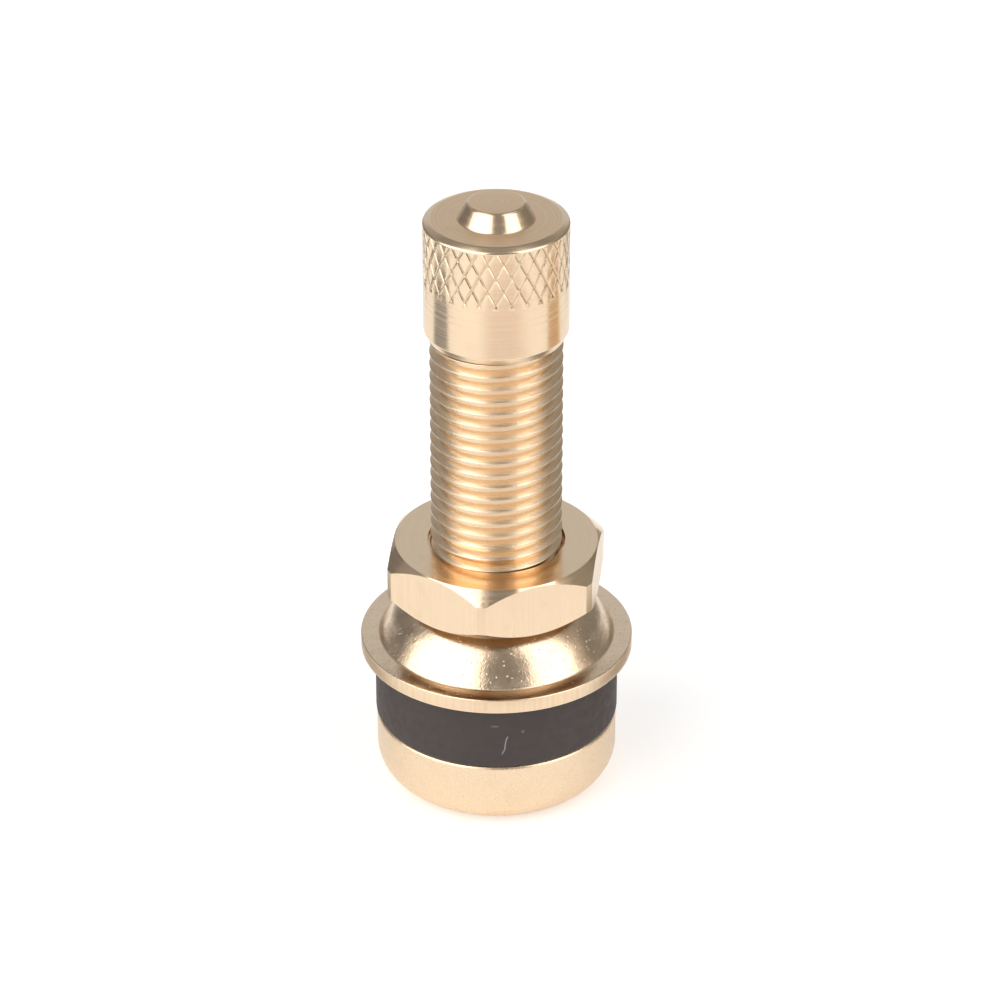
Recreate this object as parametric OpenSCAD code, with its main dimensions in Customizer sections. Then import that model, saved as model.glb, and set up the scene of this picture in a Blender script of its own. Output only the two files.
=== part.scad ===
// Clamp-in tubeless tyre valve. A turned brass stem carries a rubber grommet, a domed washer and a
// hex nut that clamp the wheel rim, a dust cap on its mouth, and a sprung screw-in core in its bore.
// +Z runs up the stem's axis and z = 0 is the underside of the base.

/* [Base and stem] */
// Outer diameter of the stem's thread
thread_d = 7.7; // [7.2:0.1:8.4]
// Spacing of the thread's crests, 32 to the inch
thread_pitch = 0.79375; // [0.7:0.00625:1]
// Depth of the thread's grooves
thread_depth = 0.45; // [0.3:0.01:0.5]
// Width of the flat on the thread's crests
thread_crest = 0.1; // [0.05:0.01:0.15]
// Plain height of the shank between the base and the thread
shank_h = 4.8; // [3:0.1:6]
// Height of the stem's mouth above the underside
stem_h = 34.9; // [32:0.1:44]
// Chamfer round the tip of the stem's thread
tip_chamfer = 0.4; // [0.2:0.05:0.5]
// Chamfer round the stem's mouth
mouth_chamfer = 0.15; // [0.1:0.05:0.3]
// Diameter of the base
base_d = 14.3; // [13:0.1:17]
// Height of the base
base_h = 4.4; // [3.6:0.1:6]
// Radius of the base's rounded lower edge
base_round = 2.2; // [1:0.1:2.6]
// Chamfer round the base's upper edge
base_chamfer = 0.2; // [0.1:0.05:0.5]
// Diameter of the air hole in the base
air_hole_d = 2.8; // [2:0.1:3.4]
// Chamfer round the air hole's mouth
air_hole_chamfer = 0.4; // [0.2:0.1:0.8]

/* [Rim grommet] */
// Height that the grommet's side stands out from the base's
grommet_proud = 0.05; // [0:0.01:0.3]
// Height of the grommet from the base to the washer
grommet_h = 4.3; // [3:0.1:6]
// Radius of the grommet's outer edges
grommet_round = 0.25; // [0.1:0.05:0.6]
// Diameter of the wheel rim's hole, which the grommet's nose fills
rim_hole_d = 11.5; // [11.1:0.1:12.5]
// Straight height of the nose before its taper
nose_straight = 0.8; // [0.5:0.1:1.2]

/* [Domed washer] */
// Thickness of the washer's sheet
sheet_t = 0.9; // [0.7:0.05:1.1]
// Height of the washer from its flange's underside to the nut
dome_h = 3.8; // [3.4:0.1:4.4]
// Slope of the dome's flank
flank_angle = 60; // [54:1:66]
// Outer radius of the dome above its flank
dome_round = 3.6; // [3:0.1:4.2]
// Radius of the crease between flank and flange
crease_round = 0.2; // [0.1:0.05:0.4]
// Width of the flange outside the crease
flange_w = 1.09; // [0.7:0.01:2]
// Break on the flange's sheared edges
flange_break = 0.08; // [0.04:0.01:0.15]

/* [Hex nut] */
// Width across the nut's flats
nut_af = 12; // [11:0.1:14]
// Height of the nut
nut_h = 3.3; // [2.6:0.1:5]
// Depth that is turned off each of the nut's corners
nut_corner_cut = 0.15; // [0.05:0.01:0.3]
// Slope of the chamfer on the nut's corners
nut_chamfer_angle = 42; // [30:1:45]
// Inset of the chamfer's circle from the flats
nut_chamfer_inset = 0.05; // [0.02:0.01:0.3]
// Countersink round the nut's hole
nut_countersink = 0.16; // [0.1:0.02:0.4]
// Turn of the nut's corners about the stem
nut_clock = 22.6; // [0:0.1:60]

/* [Dust cap] */
// Wall of the cap outside its thread
cap_wall = 0.3; // [0.25:0.01:0.6]
// Depth of the cap's bore from its skirt to its ceiling
cap_bore_depth = 6.35; // [5:0.05:9]
// Thickness of the cap's roof
cap_roof = 0.95; // [0.6:0.05:1.6]
// Height of the taper at the skirt's lower end
skirt_taper_h = 0.45; // [0.2:0.05:0.8]
// Width of the flat ring left at the skirt's lower end
skirt_land = 0.06; // [0.04:0.01:0.15]
// Width of the chamfer on the cap's shoulder
shoulder_w = 0.48; // [0.2:0.02:0.8]
// Height of the chamfer on the cap's shoulder
shoulder_h = 0.26; // [0.1:0.02:0.5]
// Lower diameter of the button on the cap
button_d = 4.44; // [3.6:0.02:5.6]
// Upper diameter of the button on the cap
button_top_d = 3.26; // [2.4:0.02:3.5]
// Height of the button on the cap
button_h = 1; // [0.5:0.05:1.6]
// Thickness of the rubber disc under the cap's roof
cap_seal_t = 0.8; // [0.5:0.05:1.4]

/* [Valve core] */
// Outer diameter of the core's thread
core_thread_d = 5.2; // [5:0.1:5.6]
// Depth of the pin's tip below the stem's mouth
pin_depth = 0.9; // [0.9:0.05:1.6]
// Height of the pin's tip above the plug
pin_proud = 0.5; // [0.3:0.05:0.8]
// Diameter of the pin
pin_d = 1.3; // [1.1:0.05:1.4]
// Chamfer round the pin's tip
pin_chamfer = 0.16; // [0.1:0.02:0.3]
// Height of the plug's wrench flats
head_h = 2; // [1.5:0.1:3]
// Width across the plug's wrench flats
head_af = 2.2; // [2:0.1:2.4]
// Step on the radius from the plug's thread in to its head
head_step = 0.75; // [0.5:0.05:0.9]
// Thickness of the plug's bridge over its bore
bridge_t = 0.7; // [0.5:0.05:1]
// Length of the plug's thread
plug_thread_h = 4; // [3:0.1:5]
// Chamfer at both ends of the plug's thread
plug_chamfer = 0.3; // [0.2:0.02:0.4]
// Thickness of the barrel's collar, which the plug swivels on
collar_t = 0.8; // [0.5:0.05:1.2]
// Height of the plug's rolled lip under that collar
lip_h = 0.5; // [0.3:0.05:0.8]
// Width of that collar outside the barrel's neck
collar_w = 0.3; // [0.2:0.02:0.4]
// Wall of the plug's skirt round that collar
skirt_wall = 0.25; // [0.2:0.02:0.35]
// Wall of the barrel's neck
neck_wall = 0.2; // [0.15:0.01:0.3]
// Wall of the barrel
barrel_wall = 0.4; // [0.3:0.02:0.5]
// Height of the barrel's seal
barrel_seal_h = 1.2; // [0.8:0.05:1.8]
// Largest diameter of the barrel's seal
barrel_seal_d = 4.3; // [4.1:0.05:4.5]
// Fall in radius down the tapered seat
seat_fall = 0.14; // [0.08:0.02:0.2]
// Depth of the pin's spring stop below the barrel's top
stop_depth = 1.15; // [0.8:0.05:1.6]
// Thickness of the pin's spring stop
stop_t = 0.4; // [0.3:0.05:0.7]
// Length of the fitted spring
spring_h = 4.9; // [4.4:0.1:7]
// Diameter of the spring's wire
wire_d = 0.34; // [0.26:0.02:0.4]
// Turns of the spring
spring_turns = 7; // [5:1:9]
// Thickness of the ledge that carries the spring
ledge_t = 0.7; // [0.5:0.05:1]
// Width of the ledge inside the barrel
ledge_w = 0.4; // [0.3:0.02:0.5]
// Diameter of the cup on the pin's foot
cup_d = 3.4; // [3.2:0.05:3.6]
// Wall of the cup
cup_wall = 0.25; // [0.2:0.01:0.35]
// Thickness of the rubber ring in the cup
cup_seal_t = 1; // [0.7:0.05:1.4]
// Height of the ring above the cup's rim
cup_seal_proud = 0.15; // [0.1:0.01:0.3]
// Height of the pin's riveted foot
foot_h = 0.5; // [0.3:0.05:0.8]
// Width of the riveted foot outside the pin
foot_w = 0.25; // [0.15:0.01:0.4]
// Travel of the pin when it is pressed
pin_travel = 1.2; // [0.8:0.05:1.6]

/* [Clearances] */
// Running clearance on the radius of a thread
thread_clear = 0.03; // [0.01:0.01:0.06]
// Clearance on the radius of the washer's hole
washer_clear = 0.1; // [0.05:0.01:0.2]
// Clearance on the radius of a fixed rubber part
rubber_clear = 0.02; // [0.01:0.01:0.05]
// Clearance of the grommet's nose in the rim's hole, on the radius
nose_clear = 0.1; // [0.05:0.01:0.2]
// Gap between the grommet's nose and the dome's flank
dome_gap = 0.32; // [0.2:0.02:0.6]
// Gap between the grommet's nose and the dome's roof
roof_gap = 0.6; // [0.5:0.05:0.8]
// Running clearance of the core's swivel
swivel_clear = 0.05; // [0.02:0.01:0.08]
// Clearance on the radius of a sliding part of the core
slide_clear = 0.1; // [0.06:0.01:0.14]
// Passage for air on the radius round the barrel
air_gap = 0.22; // [0.2:0.01:0.3]
// Gap on the radius inside the spring
spring_gap = 0.2; // [0.15:0.01:0.25]
// Gap between the cap's bore and its rubber disc, on the radius
disc_gap = 0.25; // [0.1:0.01:0.4]
// Room under the foot of the pressed pin
foot_room = 0.9; // [0.5:0.1:2]

/* [Hidden] */

$fn = 96;
// Steps along a quarter turn of a rounded edge
round_steps = 10;
// Sides and rings per turn of the spring's wire
wire_sides = 8;
wire_rings = 18;
// Slope of a thread's flanks from a cut straight across the stem
thread_flank = 30;
// Overshoot of a cutting tool past the face that it leaves
cut_past = 0.5;
// Fall of a drilled hole's end
drill_angle = 59;

brass = [0.82, 0.68, 0.47];
brass_shade = [0.74, 0.60, 0.40];
rubber = [0.13, 0.12, 0.12];
seal_red = [0.55, 0.16, 0.12];
steel = [0.72, 0.72, 0.74];

// Radii and heights of the clamping stack
thread_r = thread_d / 2;
thread_z = base_h + shank_h;
thread_rings = floor((stem_h - tip_chamfer - thread_z) / thread_pitch);
base_r = base_d / 2;
grommet_r = base_r + grommet_proud;
air_r = air_hole_d / 2;
flange_z = base_h + grommet_h;
nut_z = flange_z + dome_h;

// The nose fills the rim's hole and the dome clears the nose
nose_r = rim_hole_d / 2 - nose_clear;
nose_h = dome_h - sheet_t - roof_gap;
flank_run = 1 / tan(flank_angle);
sheet_across = sheet_t / sin(flank_angle);
crease_r = nose_r + dome_gap + (nose_straight - sheet_t) * flank_run + sheet_across;
nose_top_r = nose_r - (nose_h - nose_straight) * flank_run;
flange_r = crease_r + flange_w;

// The cap's bore ends on the rubber disc that closes the stem's mouth
cap_bore_r = thread_r + thread_clear;
cap_r = cap_bore_r + cap_wall;
cap_ceiling_z = stem_h + cap_seal_t;
cap_z = cap_ceiling_z - cap_bore_depth;
cap_top_z = cap_ceiling_z + cap_roof;

// Radii of the core from the pin outwards
pin_r = pin_d / 2;
wire_r = wire_d / 2;
spring_r = pin_r + spring_gap + wire_r;
barrel_bore_r = spring_r + wire_r + slide_clear;
barrel_r = barrel_bore_r + barrel_wall;
neck_r = barrel_bore_r + neck_wall;
collar_r = neck_r + collar_w;
pocket_r = collar_r + swivel_clear;
skirt_r = pocket_r + skirt_wall;
barrel_seal_r = barrel_seal_d / 2;
core_thread_r = core_thread_d / 2;
stop_r = barrel_bore_r - slide_clear;
ledge_r = barrel_bore_r - ledge_w;
cup_r = cup_d / 2;

// Heights of the core from the pin's tip downwards
pin_tip_z = stem_h - pin_depth;
plug_z = pin_tip_z - pin_proud;
plug_thread_z = plug_z - head_h;
pocket_z = plug_thread_z - plug_thread_h;
barrel_top_z = pocket_z - swivel_clear;
collar_z = barrel_top_z - collar_t;
lip_z = collar_z - swivel_clear;
skirt_end_z = lip_z - lip_h;
seal_top_z = skirt_end_z - slide_clear;
seal_end_z = seal_top_z - barrel_seal_h;
stop_z = barrel_top_z - stop_depth - stop_t;
ledge_z = stop_z - spring_h;
barrel_end_z = ledge_z - ledge_t;
cup_floor_z = barrel_end_z - cup_seal_t;
cup_z = cup_floor_z - cup_wall;
foot_z = cup_z - foot_h;

// Bores of the stem round the core
core_bore_r = core_thread_r + thread_clear;
chamber_r = max(barrel_seal_r, skirt_r) + slide_clear;
seat_r = barrel_seal_r - seat_fall;
lower_bore_r = max(barrel_r, cup_r) + air_gap;
core_bore_end_z = pocket_z - swivel_clear;
lower_bore_end_z = foot_z - pin_travel - foot_room;

// Points along an arc round c, from angle a to angle b
function arc(c, r, a, b) =
    let (n = max(2, ceil(round_steps * abs(b - a) / 90)))
    [for (i = [0:n]) let (t = a + (b - a) * i / n) c + r * [cos(t), sin(t)]];

// Turns a closed outline of radius and height points about the stem's axis
module turned(outline) {
    rotate_extrude() polygon(outline);
}

// One round ring between two radii
module ring(r_in, r_out, z, h) {
    turned([[r_in, z], [r_out, z], [r_out, z + h], [r_in, z + h]]);
}

// The thread is drawn as rings, one groove to each pitch
module valve_stem() {
    round_c = [base_r - base_round, base_round];
    mouth_w = (thread_pitch - thread_crest) / 2;
    root_w = mouth_w - thread_depth * tan(thread_flank);
    root_r = thread_r - thread_depth;
    groove = [[thread_r, -mouth_w], [root_r, -root_w], [root_r, root_w], [thread_r, mouth_w]];
    seat_end_z = seal_end_z - rubber_clear;
    seat_start_r = barrel_seal_r + rubber_clear;
    seat_end_r = seat_r + rubber_clear;
    color(brass) turned(concat(
        [[air_r + air_hole_chamfer, 0]],
        arc(round_c, base_round, -90, 0),
        [
            [base_r, base_h - base_chamfer],
            [base_r - base_chamfer, base_h],
            [thread_r, base_h]
        ],
        [
            for (i = [1:thread_rings], point = groove)
                point + [0, thread_z + (i - 1 / 2) * thread_pitch]
        ],
        [
            [thread_r, stem_h - tip_chamfer],
            [thread_r - tip_chamfer, stem_h],
            [core_bore_r + mouth_chamfer, stem_h],
            [core_bore_r, stem_h - mouth_chamfer],
            [core_bore_r, core_bore_end_z],
            [chamber_r, core_bore_end_z - (core_bore_r - chamber_r)],
            [chamber_r, seal_top_z + (chamber_r - seat_start_r)],
            [seat_start_r, seal_top_z],
            [seat_end_r, seat_end_z],
            [lower_bore_r, seat_end_z - abs(seat_end_r - lower_bore_r)],
            [lower_bore_r, lower_bore_end_z],
            [air_r, lower_bore_end_z - (lower_bore_r - air_r) / tan(drill_angle)],
            [air_r, air_hole_chamfer]
        ]
    ));
}

module rim_grommet() {
    bore_r = thread_r + rubber_clear;
    edge_r = grommet_r - grommet_round;
    color(rubber) turned(concat(
        [[bore_r, base_h]],
        arc([edge_r, base_h + grommet_round], grommet_round, -90, 0),
        arc([edge_r, flange_z - grommet_round], grommet_round, 0, 90),
        [
            [nose_r, flange_z],
            [nose_r, flange_z + nose_straight],
            [nose_top_r, flange_z + nose_h],
            [bore_r, flange_z + nose_h]
        ]
    ));
}

// The washer is one sheet: both sides of each bend share its centre. The dome rounds over from its
// straight flank to the edge of the hole, where the nut bears
module domed_washer() {
    hole_r = thread_r + washer_clear;
    crease = [crease_r, flange_z + sheet_t];
    flank_up = [-cos(flank_angle), sin(flank_angle)];
    flank_in = [-sin(flank_angle), -cos(flank_angle)];
    from_hole = crease - [hole_r, nut_z];
    reach = -from_hole * flank_up;
    flank_l = reach - sqrt(reach * reach - from_hole * from_hole - 2 * dome_round * from_hole * flank_in);
    dome_c = crease + flank_l * flank_up + dome_round * flank_in;
    crease_c = [crease_r + crease_round * tan(flank_angle / 2), flange_z + sheet_t + crease_round];
    dome_end = 90 - flank_angle;
    function hole_turn(r) = acos((hole_r - dome_c[0]) / r);
    crease_end = -90 - flank_angle;
    color(brass) turned(concat(
        arc(dome_c, dome_round, hole_turn(dome_round), dome_end),
        arc(crease_c, crease_round, crease_end, -90),
        [
            [flange_r - flange_break, flange_z + sheet_t],
            [flange_r, flange_z + sheet_t - flange_break],
            [flange_r, flange_z + flange_break],
            [flange_r - flange_break, flange_z]
        ],
        arc(crease_c, crease_round + sheet_t, -90, crease_end),
        arc(dome_c, dome_round - sheet_t, dome_end, hole_turn(dome_round - sheet_t))
    ));
}

module hex_nut() {
    hex_r = nut_af / 2 / cos(30);
    corner_r = hex_r - nut_corner_cut;
    chamfer_r = nut_af / 2 - nut_chamfer_inset;
    chamfer_h = (corner_r - chamfer_r) * tan(nut_chamfer_angle);
    bore_r = thread_r + thread_clear;
    sink_r = bore_r + nut_countersink;
    color(brass) translate([0, 0, nut_z]) difference() {
        intersection() {
            rotate(nut_clock) cylinder(r = hex_r, h = nut_h, $fn = 6);
            turned([
                [0, 0], [chamfer_r, 0], [corner_r, chamfer_h],
                [corner_r, nut_h - chamfer_h], [chamfer_r, nut_h], [0, nut_h]
            ]);
        }
        turned([
            [0, -cut_past], [sink_r, -cut_past], [sink_r, 0], [bore_r, nut_countersink],
            [bore_r, nut_h - nut_countersink], [sink_r, nut_h],
            [sink_r, nut_h + cut_past], [0, nut_h + cut_past]
        ]);
    }
}

module dust_cap() {
    color(brass) turned([
        [cap_bore_r, cap_z],
        [cap_bore_r + skirt_land, cap_z],
        [cap_r, cap_z + skirt_taper_h],
        [cap_r, cap_top_z - shoulder_h],
        [cap_r - shoulder_w, cap_top_z],
        [button_d / 2, cap_top_z],
        [button_top_d / 2, cap_top_z + button_h],
        [0, cap_top_z + button_h],
        [0, cap_ceiling_z],
        [cap_bore_r, cap_ceiling_z]
    ]);
}

module cap_seal() {
    disc_r = cap_bore_r - disc_gap;
    color(rubber) translate([0, 0, stem_h]) cylinder(r = disc_r, h = cap_seal_t);
}

// The bore is wider than the wrench flats, so that air passes on both sides of the bridge
module core_plug() {
    pin_hole_r = pin_r + slide_clear;
    head_r = core_thread_r - head_step;
    plug_bore_r = neck_r;
    lip_r = neck_r + swivel_clear;
    color(brass_shade) difference() {
        turned([
            [pin_hole_r, plug_z - bridge_t],
            [plug_bore_r, plug_z - bridge_t],
            [plug_bore_r, pocket_z],
            [pocket_r, pocket_z],
            [pocket_r, lip_z],
            [lip_r, lip_z],
            [lip_r, skirt_end_z],
            [skirt_r, skirt_end_z],
            [skirt_r, pocket_z],
            [core_thread_r - plug_chamfer, pocket_z],
            [core_thread_r, pocket_z + plug_chamfer],
            [core_thread_r, plug_thread_z - plug_chamfer],
            [core_thread_r - plug_chamfer, plug_thread_z],
            [head_r, plug_thread_z],
            [head_r, plug_z],
            [pin_hole_r, plug_z]
        ]);
        for (side = [0, 180]) {
            rotate(side) translate([-core_thread_r, head_af / 2, plug_thread_z])
                cube([core_thread_d, core_thread_r, head_h + cut_past]);
        }
    }
}

module core_barrel() {
    seal_seat_r = neck_r;
    color(brass_shade) turned([
        [barrel_bore_r, barrel_top_z],
        [barrel_bore_r, ledge_z],
        [ledge_r, ledge_z],
        [ledge_r, barrel_end_z],
        [barrel_r, barrel_end_z],
        [barrel_r, seal_end_z],
        [seal_seat_r, seal_end_z],
        [seal_seat_r, collar_z],
        [collar_r, collar_z],
        [collar_r, barrel_top_z]
    ]);
}

module barrel_seal() {
    seal_bore_r = neck_r + rubber_clear;
    color(seal_red) turned([
        [seal_bore_r, seal_end_z],
        [seat_r, seal_end_z],
        [barrel_seal_r, seal_top_z],
        [seal_bore_r, seal_top_z]
    ]);
}

module core_pin() {
    color(brass_shade) turned([
        [0, foot_z],
        [pin_r, foot_z],
        [pin_r + foot_w, foot_z + foot_h / 2],
        [pin_r + foot_w, cup_z],
        [pin_r, cup_z],
        [pin_r, stop_z],
        [stop_r, stop_z],
        [stop_r, stop_z + stop_t],
        [pin_r, stop_z + stop_t],
        [pin_r, pin_tip_z - pin_chamfer],
        [pin_r - pin_chamfer, pin_tip_z],
        [0, pin_tip_z]
    ]);
}

module pin_cup() {
    hole_r = pin_r + rubber_clear;
    color(brass_shade) turned([
        [hole_r, cup_z],
        [cup_r, cup_z],
        [cup_r, barrel_end_z - cup_seal_proud],
        [cup_r - cup_wall, barrel_end_z - cup_seal_proud],
        [cup_r - cup_wall, cup_floor_z],
        [hole_r, cup_floor_z]
    ]);
}

module cup_seal() {
    color(rubber) ring(pin_r + rubber_clear, cup_r - cup_wall - rubber_clear, cup_floor_z, cup_seal_t);
}

// A round wire wound between the barrel's ledge and the pin's stop, swept ring by ring
module core_spring() {
    rings = spring_turns * wire_rings;
    low_z = ledge_z + wire_r + rubber_clear;
    rise = spring_h - wire_d - 2 * rubber_clear;
    points = [
        for (i = [0:rings], k = [0:wire_sides - 1])
            let (
                turn = 360 * spring_turns * i / rings,
                side = 360 * k / wire_sides,
                r = spring_r + wire_r * cos(side)
            )
            [r * cos(turn), r * sin(turn), low_z + rise * i / rings + wire_r * sin(side)]
    ];
    walls = [
        for (i = [0:rings - 1], k = [0:wire_sides - 1])
            let (a = i * wire_sides, b = a + wire_sides, next = (k + 1) % wire_sides)
            [a + k, b + k, b + next, a + next]
    ];
    first_end = [for (k = [0:wire_sides - 1]) k];
    last_end = [for (k = [wire_sides - 1:-1:0]) rings * wire_sides + k];
    color(steel) polyhedron(points, concat(walls, [first_end, last_end]));
}

valve_stem();
rim_grommet();
domed_washer();
hex_nut();
dust_cap();
cap_seal();
core_plug();
core_barrel();
barrel_seal();
core_pin();
pin_cup();
cup_seal();
core_spring();
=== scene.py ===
"""Clamp-in tyre valve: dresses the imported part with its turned, knurled, pressed and moulded pieces."""
import math

import bmesh
import bpy
from bpy.props import FloatProperty, FloatVectorProperty, IntProperty, PointerProperty
from mathutils import Matrix, Vector, noise


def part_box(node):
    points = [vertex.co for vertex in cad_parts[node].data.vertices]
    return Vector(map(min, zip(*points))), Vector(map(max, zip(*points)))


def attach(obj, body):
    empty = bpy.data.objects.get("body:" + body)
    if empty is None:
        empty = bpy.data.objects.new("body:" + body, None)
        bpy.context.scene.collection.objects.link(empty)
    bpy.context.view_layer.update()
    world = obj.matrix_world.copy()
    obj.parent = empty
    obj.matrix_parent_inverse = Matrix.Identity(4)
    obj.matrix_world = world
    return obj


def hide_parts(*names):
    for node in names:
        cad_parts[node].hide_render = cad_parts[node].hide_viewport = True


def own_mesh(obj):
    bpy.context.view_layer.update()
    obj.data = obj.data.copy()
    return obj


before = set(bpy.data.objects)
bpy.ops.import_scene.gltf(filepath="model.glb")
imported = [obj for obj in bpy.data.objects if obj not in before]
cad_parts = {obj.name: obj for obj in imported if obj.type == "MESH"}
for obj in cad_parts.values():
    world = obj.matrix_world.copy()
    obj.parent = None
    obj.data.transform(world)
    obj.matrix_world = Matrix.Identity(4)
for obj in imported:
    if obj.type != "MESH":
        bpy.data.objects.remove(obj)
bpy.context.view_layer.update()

bl_info = {
    "name": "Clamp-in tyre valve",
    "version": (1, 0, 0),
    "blender": (4, 5, 0),
    "location": "View3D > Sidebar > Tyre valve",
    "description": "Builds the stem, grommet, washer, nut, cap and spring of a tyre valve, and a studio",
    "category": "Add Mesh",
}

MM = 0.001
TURN = 2 * math.pi
AXIS = Vector((0, 0, 1))
CENTRE = Vector((0, 0, 0))
# Points closer than this are one point
NEAR = 0.002 * MM
# Edges that turn by more than this show as creases
CREASE = math.radians(25)
# Slope of a thread's flanks
FLANK = math.radians(30)
# Places along a full turn of a lathe piece
LATHE_STEPS = 96
# Bore of the stem from its air hole to the core's thread, as radii and heights in millimetres
STEM_BORE = ((1.92, 16.45), (1.92, 24.67), (2.03, 24.78), (2.17, 26), (2.25, 26.08), (2.25, 27.07))
# Turns that a thread's skin has to spare at each end
SPARE_TURNS = 2
# Places along one turn of the spring and round its wire
COIL_STEPS, WIRE_SIDES = 32, 14
# Cuts along each side of the knurl's diamonds
KNURL_CUTS = 13
# Rise of the normal of a level face on the nut and on the cap, and of a slope
NUT_LEVEL, CAP_LEVEL, SLOPE = 0.95, 0.97, 0.3
# Share of its half size at which a fading card is whole
FADE_END = 0.3
# How far back the room starts to brighten, and where the back wall is whole
WALL_EDGE, WALL_WHOLE = 0.55, 0.8
# Radius in millimetres at which the lines down a drawn flat are counted
LINE_RADIUS = 6.0
# How far grime, and the painted shade in the knurl's grooves, hide the metal below them
GRIME_AND_SHADE_SHARE = 0.75


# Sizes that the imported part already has

_, STEM_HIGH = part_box("valve_stem")
GROMMET_LOW, GROMMET_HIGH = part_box("rim_grommet")
WASHER_LOW, WASHER_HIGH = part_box("domed_washer")
NUT_LOW, NUT_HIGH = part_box("hex_nut")
CAP_LOW, CAP_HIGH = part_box("dust_cap")
_, DISC_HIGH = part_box("cap_seal")
_, PLUG_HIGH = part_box("core_plug")
SPRING_LOW, SPRING_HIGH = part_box("core_spring")


def length(name, description, default):
    """A size in metres that shows in the scene's own unit."""
    return FloatProperty(name=name, description=description, default=default * MM, unit="LENGTH", precision=5)


def number(name, description, default):
    """A plain number, such as a share or a brightness."""
    return FloatProperty(name=name, description=description, default=default, min=0)


def angle(name, description, default):
    """An angle that is given in degrees and kept in radians."""
    return FloatProperty(name=name, description=description, default=math.radians(default), subtype="ANGLE")


def colour(name, description, default):
    """A colour in linear red, green and blue."""
    return FloatVectorProperty(
        name=name, description=description, default=default, size=3, min=0, max=1, subtype="COLOR"
    )


class ValveStemSizes(bpy.types.PropertyGroup):
    """Sizes of the turned stem."""

    thread_d: length("Thread diameter", "Outer diameter of the stem's thread", 7.7)
    pitch: length("Pitch", "Rise of the thread in one turn", 0.79375)
    depth: length("Thread depth", "Depth of the thread from crest to root", 0.45)
    crest_round: length("Crest round", "Radius of the thread's crests", 0.058)
    thread_z: length("Thread start", "Height at which the thread starts", 9.2)
    tip_chamfer: length("Tip chamfer", "Chamfer round the tip of the thread", 0.4)
    base_round: length("Base round", "Radius of the base's lower edge", 2.2)
    base_chamfer: length("Base chamfer", "Break round the base's upper edge", 0.2)
    air_hole_d: length("Air hole", "Diameter of the air hole in the base", 2.8)
    air_chamfer: length("Air hole chamfer", "Chamfer round the air hole's mouth", 0.4)
    air_hole_h: length("Air hole height", "Height at which the air hole widens", 16.1)
    core_thread_z: length("Core thread start", "Height at which the core's thread starts", 27.45)
    core_clear: length("Core clearance", "Clearance on the radius of the core's thread", 0.03)
    mouth_chamfer: length("Mouth chamfer", "Chamfer round the stem's mouth", 0.15)


class ValveGrommetSizes(bpy.types.PropertyGroup):
    """Sizes of the rubber grommet."""

    bore_clear: length("Bore clearance", "Clearance on the radius round the thread", 0.02)
    edge_round: length("Edge round", "Radius of the grommet's outer edges", 0.25)
    nose_d: length("Nose diameter", "Diameter of the grommet's nose", 11.3)
    nose_straight: length("Nose straight", "Height of the nose below its taper", 0.8)
    nose_top_d: length("Nose top diameter", "Diameter of the nose at its top", 9.56)
    nose_round: length("Nose round", "Radius of the nose's upper edge", 0.3)


class ValveWasherSizes(bpy.types.PropertyGroup):
    """Sizes of the pressed washer."""

    hole_clear: length("Hole clearance", "Clearance on the radius round the thread", 0.1)
    sheet_t: length("Sheet", "Thickness of the washer's sheet", 0.9)
    flank: angle("Flank", "Slope of the dome's flank", 60)
    flange_w: length("Flange width", "Width of the flat flange", 1.09)
    dome_round: length("Dome round", "Outer radius of the dome", 3.6)
    crease_round: length("Crease round", "Radius of the crease", 0.2)
    edge_break: length("Edge break", "Break on the flange's sheared edges", 0.08)


class ValveNutSizes(bpy.types.PropertyGroup):
    """Sizes of the hex nut."""

    across: length("Across flats", "Width across the nut's flats", 12)
    corner_cut: length("Corner cut", "Depth turned off each corner", 0.15)
    chamfer: angle("Chamfer", "Slope of the chamfer on the corners", 42)
    chamfer_inset: length("Chamfer inset", "Inset of the chamfer's circle from the flats", 0.05)
    countersink: length("Countersink", "Countersink round the nut's hole", 0.16)
    bore_clear: length("Bore clearance", "Clearance on the radius round the thread", 0.03)
    clock: angle("Clock", "Turn of the nut about the stem", 22.6)


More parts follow.
